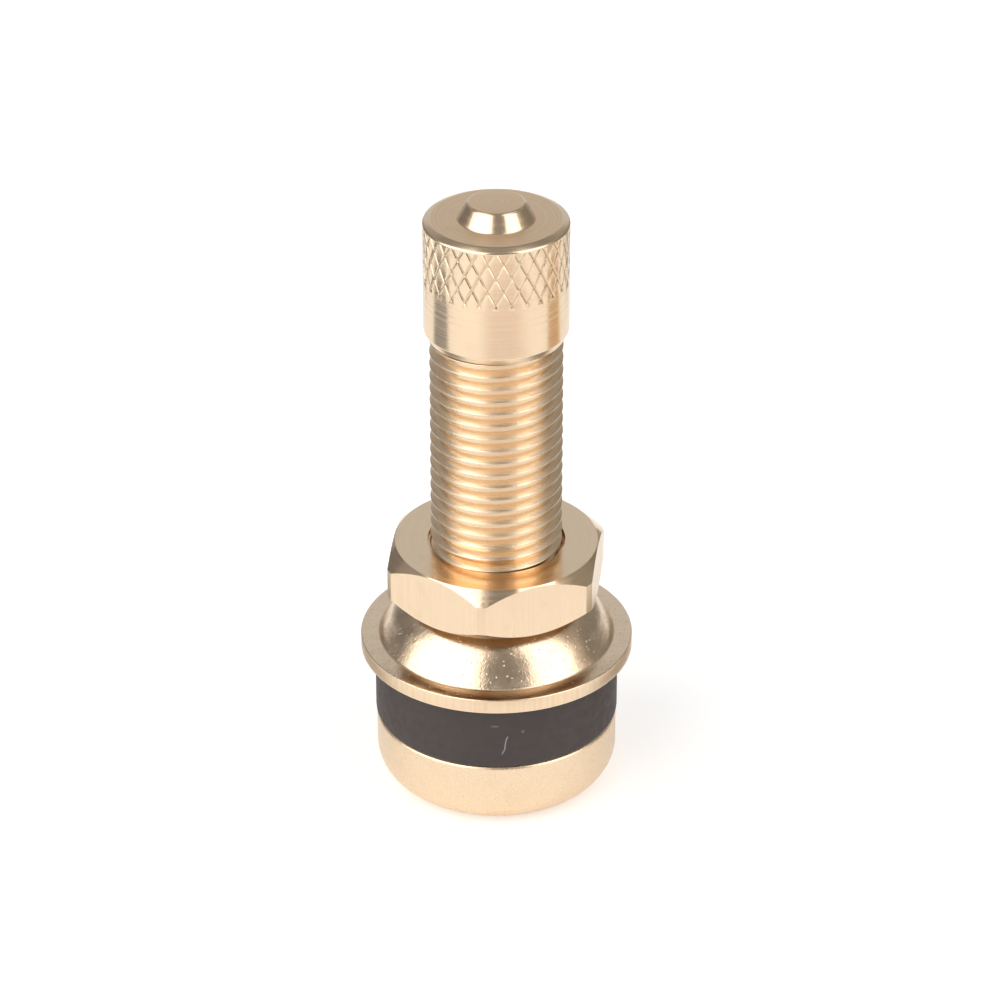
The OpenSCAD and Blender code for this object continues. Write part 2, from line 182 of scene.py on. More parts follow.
class ValveCapSizes(bpy.types.PropertyGroup):
    """Sizes of the dust cap and its knurl."""

    bore_clear: length("Bore clearance", "Clearance on the radius round the thread", 0.03)
    skirt_taper: length("Skirt taper", "Height of the skirt's taper", 0.45)
    skirt_land: length("Skirt land", "Flat ring at the skirt's end", 0.06)
    shoulder_w: length("Shoulder width", "Inset of the cap's face from its side", 0.48)
    shoulder_fall: angle("Shoulder fall", "Slope of the shoulder", 22)
    shoulder_round: length("Shoulder round", "Radius of the roll at the cap's side", 0.16)
    face_roll: length("Face roll", "Roll between face and shoulder", 0.1)
    button_h: length("Button height", "Height of the button on the cap", 1)
    button_d: length("Button diameter", "Lower diameter of the button", 4.44)
    button_top_d: length("Button top diameter", "Upper diameter of the button", 3.26)
    edge_break: length("Edge break", "Break on the cap's turned edges", 0.06)
    button_round: length("Button round", "Radius of the button's upper edge", 0.15)
    button_fillet: length("Button fillet", "Fillet round the button's foot", 0.08)
    knurl_count: IntProperty(name="Knurl count", description="Diamonds round the cap", default=29, min=12)
    knurl_row: length("Knurl row", "Height of one diamond", 1.71)
    knurl_clock: angle("Knurl clock", "Turn of the knurl about the stem", 2.8)
    knurl_shift: length("Knurl shift", "Height of the knurl's crossings above its middle", 0.33)
    knurl_low: length("Knurl start", "Height at which the knurl starts", 32.85)
    knurl_high: length("Knurl end", "Height at which the knurl ends", 36.3)
    knurl_depth: length("Knurl depth", "Depth of the knurl's deeper grooves", 0.075)
    knurl_share: number("Cross share", "Depth of the grooves that cross them, as a share", 0.65)
    knurl_pillow: length("Knurl pillow", "Fall of a diamond's face to its grooves", 0.018)
    knurl_w: number("Knurl width", "Half a groove, as a share of a diamond", 0.075)
    knurl_wear: number("Knurl wear", "Unevenness of the grooves' depth", 0.3)
    knurl_run_out: length("Knurl run-out", "Height over which the grooves run out", 0.3)
    knurl_margin: length("Knurl margin", "Plain ring that joins the knurl to the skirt", 0.05)


class ValveSpringSizes(bpy.types.PropertyGroup):
    """Sizes of the core's spring."""

    wire_d: length("Wire diameter", "Diameter of the spring's wire", 0.34)
    turns: IntProperty(name="Turns", description="Turns of the spring", default=7, min=1)
    travel: length("Travel", "How far the pin presses it", 1.2)


class ValveColours(bpy.types.PropertyGroup):
    """Colours of the valve's finishes."""

    brass: colour("Brass", "Pale turned brass", (0.90, 0.71, 0.505))
    brass_shade: colour("Brass shade", "Darker brass in marks and stains", (0.62, 0.42, 0.23))
    washer: colour("Washer", "Bright pressed brass", (0.89, 0.71, 0.52))
    core: colour("Core", "Brass of the core", (0.74, 0.55, 0.31))
    rubber: colour("Rubber", "Moulded rubber", (0.048, 0.036, 0.034))
    dust: colour("Dust", "Pale dust and scuffs on the rubber", (0.36, 0.33, 0.31))
    # Grime on the thread's nick; also painted shade in the knurl's grooves and under the nut
    grime_and_shade: colour("Grime", "Dark metal in grooves and nicks", (0.30, 0.20, 0.11))
    scuff: colour("Scuff", "Bluish scratch in the rubber", (0.38, 0.44, 0.47))
    seal: colour("Seal", "Red seal of the core", (0.42, 0.08, 0.05))
    steel: colour("Steel", "Drawn spring wire", (0.60, 0.60, 0.61))
    floor: colour("Floor", "Pale studio floor", (0.86, 0.86, 0.86))
    room: colour("Room", "Walls of the studio", (0.97, 0.98, 1.0))
    lamp: colour("Lamp", "Light of the softboxes", (1.0, 0.95, 0.90))


class ValveStageSettings(bpy.types.PropertyGroup):
    """Camera and light of the studio."""

    aim_x: length("Aim across", "How far right the camera stands", 0.21)
    aim_z: length("Aim height", "Height that the camera looks at", 18.362)
    distance: length("Camera distance", "Distance from the camera to that point", 248.924)
    elevation: angle("Camera elevation", "Angle of the camera above the horizon", 29.777)
    lens: FloatProperty(name="Lens", description="Focal length", default=153.687, subtype="DISTANCE_CAMERA")
    softbox: number("Softbox", "Brightness of the softboxes", 1.55)
    room: number("Room", "Brightness of the room", 0.43)
    wall: number("Wall", "Brightness of the back wall", 0.62)
    box_distance: length("Box distance", "Distance of the upright softboxes", 280)
    box_lift: length("Box lift", "Height of their lower edge", 15)
    box_h: length("Box height", "Height of the upright softboxes", 645)
    roof_z: length("Roof height", "Height of the softboxes overhead", 600)
    roof_w: length("Roof width", "Width of the softboxes overhead", 320)
    roof_l: length("Roof length", "Length of the softboxes overhead", 330)
    card_distance: length("Card distance", "Distance of the cards", 330)
    floor_r: length("Floor radius", "Radius of the floor", 1500)
    floor_gap: length("Floor gap", "Gap below the valve's base", 0.02)
    floor_glow: number("Floor glow", "Lift of the floor to white", 0.36)
    mirror_glow: number("Mirrored glow", "Its lift in reflections", 0.2)


class ValveSettings(bpy.types.PropertyGroup):
    """All sizes and colours of the valve."""

    stem: PointerProperty(type=ValveStemSizes)
    grommet: PointerProperty(type=ValveGrommetSizes)
    washer: PointerProperty(type=ValveWasherSizes)
    nut: PointerProperty(type=ValveNutSizes)
    cap: PointerProperty(type=ValveCapSizes)
    spring: PointerProperty(type=ValveSpringSizes)
    colours: PointerProperty(type=ValveColours)
    stage: PointerProperty(type=ValveStageSettings)


# Shader maths

class Socket:
    """One output in a node tree. Arithmetic on it adds Math nodes, and node() adds any other node."""

    def __init__(self, tree, output=None):
        self.tree = tree
        self.output = output

    def node(self, kind, settings=None, sockets=None, out=0):
        """Adds a node, sets its settings and then its sockets, and wraps one of its outputs."""
        made = self.tree.nodes.new("ShaderNode" + kind)
        for name, value in (settings or {}).items():
            setattr(made, name, value)
        for key, value in (sockets or {}).items():
            if isinstance(value, Socket):
                self.tree.links.new(value.output, made.inputs[key])
            else:
                made.inputs[key].default_value = value
        return Socket(self.tree, made.outputs[out] if made.outputs else None)

    def sibling(self, name):
        """Another output of the same node."""
        return Socket(self.tree, self.output.node.outputs[name])

    def math(self, operation, *values):
        """Adds one Math node."""
        return self.node("Math", {"operation": operation}, dict(enumerate(values)))

    def __add__(self, other):
        return self.math("ADD", self, other)

    def __radd__(self, other):
        return self.math("ADD", other, self)

    def __sub__(self, other):
        return self.math("SUBTRACT", self, other)

    def __rsub__(self, other):
        return self.math("SUBTRACT", other, self)

    def __mul__(self, other):
        return self.math("MULTIPLY", self, other)

    def __rmul__(self, other):
        return self.math("MULTIPLY", other, self)

    def __pow__(self, other):
        return self.math("POWER", self, other)

    def __lt__(self, other):
        return self.math("LESS_THAN", self, other)

    def __gt__(self, other):
        return self.math("GREATER_THAN", self, other)

    def __abs__(self):
        return self.math("ABSOLUTE", self)


def bare_tree(owner):
    """Empties the node tree of a new material or world, to start from."""
    owner.use_nodes = True
    owner.node_tree.nodes.clear()
    return Socket(owner.node_tree)


def smooth_ramp(value, low, high, bottom=0.0, top=1.0):
    """Maps a value from low to high on to bottom to top, smoothly."""
    return value.node(
        "MapRange", {"interpolation_type": "SMOOTHSTEP"},
        {"Value": value, "From Min": low, "From Max": high, "To Min": bottom, "To Max": top},
    )


def rough_by(value, rough, less, more):
    """Roughness that goes below and above its middle with a noise."""
    return smooth_ramp(value, 0.3, 0.7, rough - less, rough + more)


class Finish:
    """A material in the making: its node tree and the places on the piece in millimetres."""

    def __init__(self, name):
        self.material = bpy.data.materials.new(name)
        self.start = bare_tree(self.material)
        self.node = self.start.node
        point = self.node("TexCoord", out="Object")
        self.place = self.node("VectorMath", {"operation": "SCALE"}, {0: point, "Scale": 1 / MM})
        self.x = self.node("SeparateXYZ", {}, {0: self.place})
        self.y = self.x.sibling("Y")
        self.z = self.x.sibling("Z")
        self.radius = (self.x * self.x + self.y * self.y) ** 0.5
        self.turn = self.start.math("ARCTAN2", self.y, self.x)

    def lines(self, along, per_unit, detail=2.0):
        """Irregular lines across one value, from 0 to 1."""
        return self.node(
            "TexNoise", {"noise_dimensions": "1D"}, {"W": along, "Scale": per_unit, "Detail": detail}
        )

    def noise(self, per_mm, detail=2.0):
        """Soft noise in space, from 0 to 1."""
        return self.node("TexNoise", {}, {"Vector": self.place, "Scale": per_mm, "Detail": detail})

    def cells(self, per_mm):
        """Distance to the middle of the nearest of many small cells."""
        return self.node("TexVoronoi", {}, {"Vector": self.place, "Scale": per_mm})

    def spot(self, middle, reach, stretch=(1, 1, 1)):
        """1 inside a small round or stretched spot and 0 outside it."""
        away = self.node("VectorMath", {"operation": "SUBTRACT"}, {0: self.place, 1: middle})
        shaped = self.node("VectorMath", {"operation": "MULTIPLY"}, {0: away, 1: stretch})
        distance = self.node("VectorMath", {"operation": "LENGTH"}, {0: shaped}, out="Value")
        return smooth_ramp(distance, reach, 0.6 * reach)

    def tint(self, mask, below, above):
        """Mixes two colours by a mask."""
        tones = [tone if isinstance(tone, Socket) else (*tone, 1.0) for tone in (below, above)]
        return self.node("Mix", {"data_type": "RGBA"}, {0: mask, 6: tones[0], 7: tones[1]}, out=2)

    def bump(self, height, microns, normal=None):
        """Raises the surface by a height from 0 to 1, which is that many microns deep."""
        sockets = {"Strength": 1.0, "Distance": microns * MM * MM, "Height": height}
        if normal is not None:
            sockets["Normal"] = normal
        return self.node("Bump", {}, sockets)

    def done(self, **sockets):
        """Joins the shader to the output and returns the material."""
        shader = self.node(
            "BsdfPrincipled", {}, {name.replace("_", " "): value for name, value in sockets.items()}
        )
        self.node("OutputMaterial", {}, {"Surface": shader})
        return self.material


# Finishes

def turned_brass(
    name, colours, marks, per_mm, microns, rough, grit=0.6, wave=0.0, streak=0.0, groove_grime_and_shade=False, nick=None
):
    """Brass with tool marks: rings on a face, hoops on a side, or lines down a drawn flat."""
    finish = Finish(name)
    along = {"rings": finish.radius, "hoops": finish.z, "lines": finish.turn * LINE_RADIUS}[marks]
    cut = finish.lines(along, per_mm)
    stain = smooth_ramp(finish.noise(0.8), 0.55, 0.8, 0.0, 0.16) + smooth_ramp(cut, 0.4, 0.65, 0.0, streak)
    base = finish.tint(stain, colours.brass, colours.brass_shade)
    # Painted shade, with some grime, darkens the knurl's grooves by their depth
    if groove_grime_and_shade:
        groove = finish.node("Attribute", {"attribute_name": "groove"}, out="Fac")
        base = finish.tint(groove * GRIME_AND_SHADE_SHARE, base, colours.grime_and_shade)
    if nick:
        base = finish.tint(finish.spot(nick, 0.17, (2.6, 1, 1)) * GRIME_AND_SHADE_SHARE, base, colours.grime_and_shade)
    skin = finish.bump(finish.noise(14), grit)
    if wave:
        skin = finish.bump(finish.noise(4), wave, skin)
    return finish.done(
        Base_Color=base, Metallic=1.0, Roughness=rough_by(cut, rough, 0.04, 0.05),
        Normal=finish.bump(cut, microns, skin)
    )


def satin_brass(name, colours, rough):
    """Finely blasted brass of the base."""
    finish = Finish(name)
    grain = finish.noise(11, 3.0)
    stain = smooth_ramp(finish.noise(0.5), 0.5, 0.8, 0.0, 0.14)
    return finish.done(
        Base_Color=finish.tint(stain, colours.brass, colours.brass_shade), Metallic=1.0,
        Roughness=rough_by(grain, rough, 0.05, 0.06), Normal=finish.bump(grain, 4)
    )


def pressed_brass(name, colours, rough):
    """Bright pressed sheet with orange peel, grain and small dents."""
    finish = Finish(name)
    peel = finish.noise(5.0, 3.0)
    dent = smooth_ramp(finish.cells(3.2), 0.03, 0.2)
    stain = smooth_ramp(peel, 0.3, 0.5, 0.2, 0.0)
    skin = finish.bump(peel, 8, finish.bump(finish.noise(13.0), 5))
    return finish.done(
        Base_Color=finish.tint(stain, colours.washer, colours.brass_shade), Metallic=1.0,
        Roughness=rough_by(finish.noise(1.2), rough, 0.04, 0.06), Normal=finish.bump(dent, 12, skin)
    )


# Marks on the rubber in millimetres: the scratch's middle, lean and half length, and two smears
SCRATCH_X, SCRATCH_Z, SCRATCH_LEAN, SCRATCH_HALF = 0.48, 5.98, 0.236, 0.7
SMEARS = (((-0.1, -7.2, 7.3), 0.24, (0.8, 1, 3)), ((1.55, -7.03, 6.85), 0.13))


def moulded_rubber(name, colours):
    """Matte rubber with fine grain, dust, smears and one scratch."""
    finish = Finish(name)
    dust = smooth_ramp(finish.cells(1.1), 0.05, 0.02) * smooth_ramp(finish.noise(0.6), 0.55, 0.65)
    smear = sum(finish.spot(*mark) for mark in SMEARS)
    base = finish.tint(dust * 0.8 + smear * 0.2, colours.rubber, colours.dust)
    rise = finish.z - SCRATCH_Z
    bend = (finish.noise(1.2) - 0.5) * 0.3
    aside = abs(finish.x - SCRATCH_X - rise * SCRATCH_LEAN - bend)
    scratch = smooth_ramp(aside, 0.065, 0.02) * smooth_ramp(abs(rise), SCRATCH_HALF, 0.5)
    base = finish.tint(scratch * (finish.y < 0) * 0.5, base, colours.scuff)
    return finish.done(
        Base_Color=base, Roughness=smooth_ramp(finish.noise(2.0), 0.3, 0.7, 0.5, 0.62),
        Normal=finish.bump(finish.noise(9, 4.0), 10)
    )


def plain_finish(name, base, metallic, rough, per_mm, microns):
    """Finish of a small inner piece, with fine grain."""
    finish = Finish(name)
    grain = finish.noise(per_mm, 3.0)
    dark = tuple(0.7 * level for level in base)
    tone = finish.tint(smooth_ramp(grain, 0.35, 0.75, 0.0, 0.5), base, dark)
    return finish.done(
        Base_Color=tone, Metallic=metallic, Roughness=rough_by(grain, rough, 0.05, 0.05),
        Normal=finish.bump(grain, microns)
    )


# Mesh helpers

def drawn(bm, outline, closed=False):
    """Draws an outline of radii and heights and returns its points and edges."""
    verts = [bm.verts.new((r, 0, z)) for r, z in outline]
    pairs = list(zip(verts, verts[1:])) + ([(verts[-1], verts[0])] if closed else [])
    return verts + [bm.edges.new(pair) for pair in pairs]


def wind(bm, geom, rise, turns=1, steps=LATHE_STEPS, merge=False):
    """Winds points and edges about the stem's axis while they rise that far."""
    bmesh.ops.spin(
        bm, geom=geom, cent=CENTRE, axis=AXIS, dvec=AXIS * rise / steps, angle=TURN * turns, steps=steps,
        use_merge=merge
    )


def spun(bm, outline, closed=False):
    """Spins an outline of radii and heights once about the stem's axis."""
    wind(bm, drawn(bm, outline, closed), 0, merge=True)


def arc(centre, radius, start, end, steps):
    """Points of radius and height along an arc."""
    turns = (start + (end - start) * step / steps for step in range(steps + 1))
    return [(centre.x + radius * math.cos(turn), centre.y + radius * math.sin(turn)) for turn in turns]


def radius_of(vert):
    """Distance of a point from the stem's axis."""
    return math.hypot(vert.co.x, vert.co.y)


def set_radius(vert, radius):
    """Moves a point out or in to that distance from the axis."""
    share = radius / radius_of(vert)
    vert.co.x *= share
    vert.co.y *= share


def round_ring(bm, radius, height, offset, segments):
    """Bevels the ring of edges at one radius and height."""
    def on_ring(vert):
        return abs(radius_of(vert) - radius) < NEAR and abs(vert.co.z - height) < NEAR

    ring = [edge for edge in bm.edges if on_ring(edge.verts[0]) and on_ring(edge.verts[1])]
    if not ring:
        raise ValueError(f"no ring at radius {radius} and height {height}")
    bmesh.ops.bevel(
        bm, geom=ring, offset=offset, offset_type="OFFSET", segments=segments, profile=0.5, affect="EDGES",
        material=-1, clamp_overlap=False
    )


def open_loop(bm, height):
    """The open edges at one height."""
    return [
        edge for edge in bm.edges
        if edge.is_boundary and all(abs(vert.co.z - height) < NEAR for vert in edge.verts)
    ]


def cut_flat(bm, height, keep_below):
    """Cuts the mesh level at one height and drops the part above or below it."""
    bmesh.ops.bisect_plane(
        bm, geom=bm.verts[:] + bm.edges[:] + bm.faces[:], dist=NEAR / 10, plane_co=(0, 0, height),
        plane_no=AXIS, clear_outer=keep_below, clear_inner=not keep_below
    )
    for vert in bm.verts:
        if abs(vert.co.z - height) < NEAR:
            vert.co.z = height


def join_loops(bm, first, second):
    """Bridges two open loops."""
    bmesh.ops.bridge_loops(bm, edges=list({*open_loop(bm, first), *open_loop(bm, second)}))


def extrude_loop(bm, edges):
    """Extrudes a closed loop and returns the new points and edges."""
    grown = bmesh.ops.extrude_edge_only(bm, edges=edges)["geom"]
    verts = [part for part in grown if isinstance(part, bmesh.types.BMVert)]
    fresh = set(verts)
    loop = [part for part in grown if isinstance(part, bmesh.types.BMEdge) and fresh.issuperset(part.verts)]
    return verts, loop


def new_object(name, bm, materials):
    """Makes an object of a mesh and its materials."""
    mesh = bpy.data.meshes.new(name)
    bm.to_mesh(mesh)
    bm.free()
    for material in materials:
        mesh.materials.append(material)
    made = bpy.data.objects.new(name, mesh)
    bpy.context.scene.collection.objects.link(made)
    return made


def add_piece(name, bm, finishes, body, node):
    """Closes a mesh, makes it an object and hangs it on its body in place of its node."""
    bmesh.ops.remove_doubles(bm, verts=bm.verts, dist=NEAR / 10)
    bmesh.ops.recalc_face_normals(bm, faces=bm.faces)
    loose = sum(edge.is_boundary or not edge.is_manifold for edge in bm.edges)
    if loose:
        raise RuntimeError(f"{name} has {loose} open edges")
    piece = new_object(name, bm, finishes)
    piece.data.shade_smooth()
    piece.data.set_sharp_from_angle(angle=CREASE)
    weighted = piece.modifiers.new("even_normals", "WEIGHTED_NORMAL")
    weighted.keep_sharp = True
    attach(piece, body)
    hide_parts(node)
    return piece


def thread_skin(bm, sizes, high):
    """Winds the thread as an open skin that is longer than it at both ends."""
    crest_r, crest_round, pitch = sizes.thread_d / 2, sizes.crest_round, sizes.pitch
    root_r = crest_r - sizes.depth
    crest = arc(Vector((crest_r - crest_round, pitch / 2)), crest_round, -TURN / 6, TURN / 6, 4)
    foot_z = crest[0][1] - (crest[0][0] - root_r) * math.tan(FLANK)
    outline = [(root_r, 0), (root_r, foot_z), *crest, (root_r, pitch - foot_z), (root_r, pitch)]
    first = sizes.thread_z - SPARE_TURNS * pitch
    turns = math.ceil((high - sizes.thread_z) / pitch) + 2 * SPARE_TURNS
    wind(bm, drawn(bm, [(r, first + z) for r, z in outline]), pitch)
    one_turn = bm.verts[:] + bm.edges[:] + bm.faces[:]
    for turn in range(1, turns):
        copied = bmesh.ops.duplicate(bm, geom=one_turn)["geom"]
        fresh = [part for part in copied if isinstance(part, bmesh.types.BMVert)]
        bmesh.ops.translate(bm, verts=fresh, vec=AXIS * pitch * turn)
    bmesh.ops.remove_doubles(bm, verts=bm.verts, dist=NEAR)


# Pieces

class VALVE_OT_stem(bpy.types.Operator):
    """Turns the stem with its base, threads it and bores it through"""

    bl_idname = "valve.stem"
    bl_label = "Threaded stem"

    def execute(self, context):
        valve = context.scene.valve
        sizes, colours = valve.stem, valve.colours
        thread_r = sizes.thread_d / 2
        base_r, base_h, mouth = STEM_HIGH.x, GROMMET_LOW.z, STEM_HIGH.z
        run_out = sizes.pitch
        bm = bmesh.new()
        thread_skin(bm, sizes, mouth)
        for vert in bm.verts:
            rise = min(max((vert.co.z - sizes.thread_z) / run_out, 0), 1)
            limit = thread_r - max(vert.co.z - (mouth - sizes.tip_chamfer), 0)
            set_radius(vert, min(thread_r + (radius_of(vert) - thread_r) * rise, limit))
        cut_flat(bm, mouth, keep_below=True)
        cut_flat(bm, sizes.thread_z - run_out / 2, keep_below=False)
        air_r = sizes.air_hole_d / 2
        bore_r = PLUG_HIGH.x + sizes.core_clear
        shank_top = sizes.thread_z - run_out
        spun(bm, [
            (thread_r, shank_top), (thread_r, base_h), (base_r, base_h), (base_r, 0),
            (air_r + sizes.air_chamfer, 0), (air_r, sizes.air_chamfer), (air_r, sizes.air_hole_h),
            *((r * MM, z * MM) for r, z in STEM_BORE), (bore_r, sizes.core_thread_z),
            (bore_r, mouth - sizes.mouth_chamfer), (bore_r + sizes.mouth_chamfer, mouth),
        ])
        round_ring(bm, base_r, 0, sizes.base_round, 16)
        round_ring(bm, base_r, base_h, sizes.base_chamfer, 4)
        join_loops(bm, shank_top, sizes.thread_z - run_out / 2)
        join_loops(bm, mouth, mouth)
        for face in bm.faces:
            middle = face.calc_center_median()
            face.material_index = int(middle.z < base_h + NEAR and middle.xy.length > air_r)
        finishes = [
            turned_brass(
                "thread_brass", colours, "hoops", 6, 1.0, 0.27, grit=1.2, wave=3.0, nick=(-0.72, -3.78, 24.78)
            ),
            satin_brass("base_brass", colours, 0.3),
        ]
        add_piece("threaded_stem", bm, finishes, "stem", "valve_stem")
        return {"FINISHED"}


class VALVE_OT_grommet(bpy.types.Operator):
    """Moulds the rubber grommet with its nose"""

    bl_idname = "valve.grommet"
    bl_label = "Rubber grommet"

    def execute(self, context):
        valve = context.scene.valve
        sizes, colours = valve.grommet, valve.colours
        bore_r = valve.stem.thread_d / 2 + sizes.bore_clear
        outer_r, low, seat, top = GROMMET_HIGH.x, GROMMET_LOW.z, WASHER_LOW.z, GROMMET_HIGH.z
        nose_r, nose_top_r = sizes.nose_d / 2, sizes.nose_top_d / 2
        bm = bmesh.new()
        spun(bm, [
            (bore_r, low), (outer_r, low), (outer_r, seat), (nose_r, seat),
            (nose_r, seat + sizes.nose_straight), (nose_top_r, top), (bore_r, top),
        ], closed=True)
        round_ring(bm, outer_r, low, sizes.edge_round, 5)
        round_ring(bm, outer_r, seat, sizes.edge_round, 5)
        round_ring(bm, nose_top_r, top, sizes.nose_round, 4)
        rubber = moulded_rubber("moulded_rubber", colours)
        add_piece("moulded_grommet", bm, [rubber], "stem", "rim_grommet")
        return {"FINISHED"}


class VALVE_OT_washer(bpy.types.Operator):
    """Presses the domed washer from one sheet"""

    bl_idname = "valve.washer"
    bl_label = "Domed washer"

    def execute(self, context):
        valve = context.scene.valve
        sizes, colours = valve.washer, valve.colours
        hole_r = valve.stem.thread_d / 2 + sizes.hole_clear
        flange_r, low, top = min(WASHER_HIGH.xy) - NEAR / 4, WASHER_LOW.z, WASHER_HIGH.z
        sheet = sizes.sheet_t
        crease = Vector((flange_r - sizes.flange_w, low + sheet))
        flank_up = Vector((-math.cos(sizes.flank), math.sin(sizes.flank)))
        flank_in = Vector((-math.sin(sizes.flank), -math.cos(sizes.flank)))
        from_hole = crease - Vector((hole_r, top))
        reach = -from_hole.dot(flank_up)
        shift = from_hole.length_squared + 2 * sizes.dome_round * from_hole.dot(flank_in)
        flank_l = reach - math.sqrt(reach ** 2 - shift)
        dome_c = crease + flank_l * flank_up + sizes.dome_round * flank_in
        crease_c = crease + Vector((math.tan(sizes.flank / 2), 1)) * sizes.crease_round

        def dome(radius):
            """One side of the dome, from the edge of its hole to its flank."""
            return arc(dome_c, radius, math.acos((hole_r - dome_c.x) / radius), TURN / 4 - sizes.flank, 14)

        def bend(radius):
            """One side of the crease, from the flank to the flange."""
            return arc(crease_c, radius, -TURN / 4 - sizes.flank, -TURN / 4, 6)

        bm = bmesh.new()
        spun(bm, [
            *dome(sizes.dome_round), *bend(sizes.crease_round), (flange_r, low + sheet), (flange_r, low),
            *reversed(bend(sizes.crease_round + sheet)), *reversed(dome(sizes.dome_round - sheet)),
        ], closed=True)
        for height in (low, low + sheet):
            round_ring(bm, flange_r, height, sizes.edge_break, 3)
        for face in bm.faces:
            face.material_index = int(all(radius_of(vert) > flange_r - NEAR for vert in face.verts))
        finishes = [
            pressed_brass("pressed_brass", colours, 0.2),
            # The rim's dark streaks are partly shear lines and partly painted shade, for the shaded floor
            # that the rim mirrors
            turned_brass("sheared_brass_with_shade", colours, "lines", 5, 1.5, 0.36, streak=0.14),
        ]
        add_piece("pressed_washer", bm, finishes, "washer", "domed_washer")
        return {"FINISHED"}


class VALVE_OT_nut(bpy.types.Operator):
    """Turns the hex nut's faces and chamfers its corners"""

    bl_idname = "valve.nut"
    bl_label = "Hex nut"

    def execute(self, context):
        valve = context.scene.valve
        sizes, colours = valve.nut, valve.colours
        low, high = NUT_LOW.z, NUT_HIGH.z
        flat_r = sizes.across / 2
        corner_r = flat_r / math.cos(TURN / 12) - sizes.corner_cut
        face_r = flat_r - sizes.chamfer_inset
        bore_r = valve.stem.thread_d / 2 + sizes.bore_clear
        sink_r = bore_r + sizes.countersink
        half_flat = math.acos(flat_r / corner_r)

        def section(turn):
            """The nut's outline at one turn, from its lower face round to its bore."""
            from_flat = (turn - sizes.clock) % (TURN / 6) - TURN / 12
            outer_r = min(flat_r / math.cos(from_flat), corner_r)
            drop = (outer_r - face_r) * math.tan(sizes.chamfer)
            return [
                (face_r, low), (outer_r, low + drop), (outer_r, high - drop), (face_r, high), (sink_r, high),
                (bore_r, high - sizes.countersink), (bore_r, low + sizes.countersink), (sink_r, low),
            ]

        flat_steps, corner_steps = 24, 4
        sector = [-half_flat + 2 * half_flat * step / flat_steps for step in range(flat_steps)]
        corner = TURN / 6 - 2 * half_flat
        sector += [half_flat + corner * step / corner_steps for step in range(corner_steps)]
        turns = [sizes.clock + TURN / 12 + side * TURN / 6 + part for side in range(6) for part in sector]
        bm = bmesh.new()
        verts = bmesh.ops.create_circle(bm, segments=len(turns), radius=1)["verts"]
        for vert, turn in zip(verts, turns):
            vert.co = (math.cos(turn), math.sin(turn), 0)
        edges = bm.edges[:]
        loops = [verts]
        for _ in section(0)[1:]:
            verts, edges = extrude_loop(bm, edges)
            loops.append(verts)
        for place, ring in enumerate(loops):
            for vert in ring:
                turn = math.atan2(vert.co.y, vert.co.x)
                ring_r, ring_z = section(turn)[place]
                vert.co = (ring_r * math.cos(turn), ring_r * math.sin(turn), ring_z)
        bmesh.ops.bridge_loops(bm, edges=[edge for edge in bm.edges if edge.is_boundary])
        bmesh.ops.recalc_face_normals(bm, faces=bm.faces)
        for face in bm.faces:
            rise = face.normal.z
            face.material_index = 3 if rise < -SLOPE else 0 if rise > NUT_LEVEL else 2 if rise > SLOPE else 1
        finishes = [
            turned_brass("nut_face_brass", colours, "rings", 5, 1.2, 0.2),
            turned_brass("nut_flat_brass", colours, "lines", 2.2, 2.5, 0.24),
            turned_brass("nut_chamfer_brass", colours, "rings", 4, 0.8, 0.13),
            # Painted shade: the nut's underside, close on the dome, gets the dark grime colour
            plain_finish("nut_seat_painted_shade", colours.grime_and_shade, 1.0, 0.45, 5, 3),
        ]
        add_piece("chamfered_nut", bm, finishes, "nut", "hex_nut")
        return {"FINISHED"}


def knurled_band(bm, sizes, cap_r):
    """Cuts crossed grooves round the cap, with mesh lines that follow the grooves."""
    count, row = sizes.knurl_count, sizes.knurl_row
    middle = (sizes.knurl_low + sizes.knurl_high) / 2
    rows = math.ceil((sizes.knurl_high - sizes.knurl_low) / row) + 2
    first = middle - rows * row / 2 + sizes.knurl_shift
    bmesh.ops.create_circle(bm, segments=count, radius=cap_r, matrix=Matrix.Translation((0, 0, first)))
    edges = bm.edges[:]
    for _ in range(rows):
        verts, edges = extrude_loop(bm, edges)
        bmesh.ops.translate(bm, verts=verts, vec=(0, 0, row))
    walls = bm.edges[:]
    bmesh.ops.poke(bm, faces=bm.faces[:], offset=0, center_mode="MEAN")
    bmesh.ops.dissolve_edges(bm, edges=[edge for edge in walls if not edge.is_boundary], use_verts=False)
    bmesh.ops.subdivide_edges(bm, edges=bm.edges[:], cuts=KNURL_CUTS, use_grid_fill=True)
    # Each point keeps its groove share, which the cap's finish also uses to paint shade and grime into the
    # grooves
    groove = bm.verts.layers.float.new("groove")
    for vert in bm.verts:
        column = math.atan2(vert.co.y, vert.co.x) / TURN * count
        level = (vert.co.z - first) / row
        offs = [abs(line - round(line)) for line in (column + level, column - level)]
        cuts = [share * max(1 - off / sizes.knurl_w, 0) for off, share in zip(offs, (1, sizes.knurl_share))]
        pillow = sizes.knurl_pillow * sum((1 - 2 * off) ** 2 for off in offs)
        uneven = noise.noise(vert.co / MM)
        rise = (vert.co.z - sizes.knurl_low) / (sizes.knurl_run_out * (1 + uneven))
        fade = min(max(rise, 0), 1) * (1 + sizes.knurl_wear * (uneven - 0.5))
        vert[groove] = max(cuts) * fade
        set_radius(vert, cap_r - (sizes.knurl_depth * vert[groove] + pillow * fade))
    bmesh.ops.rotate(bm, verts=bm.verts, cent=CENTRE, matrix=Matrix.Rotation(sizes.knurl_clock, 3, AXIS))
    cut_flat(bm, sizes.knurl_high, keep_below=True)
    cut_flat(bm, sizes.knurl_low, keep_below=False)


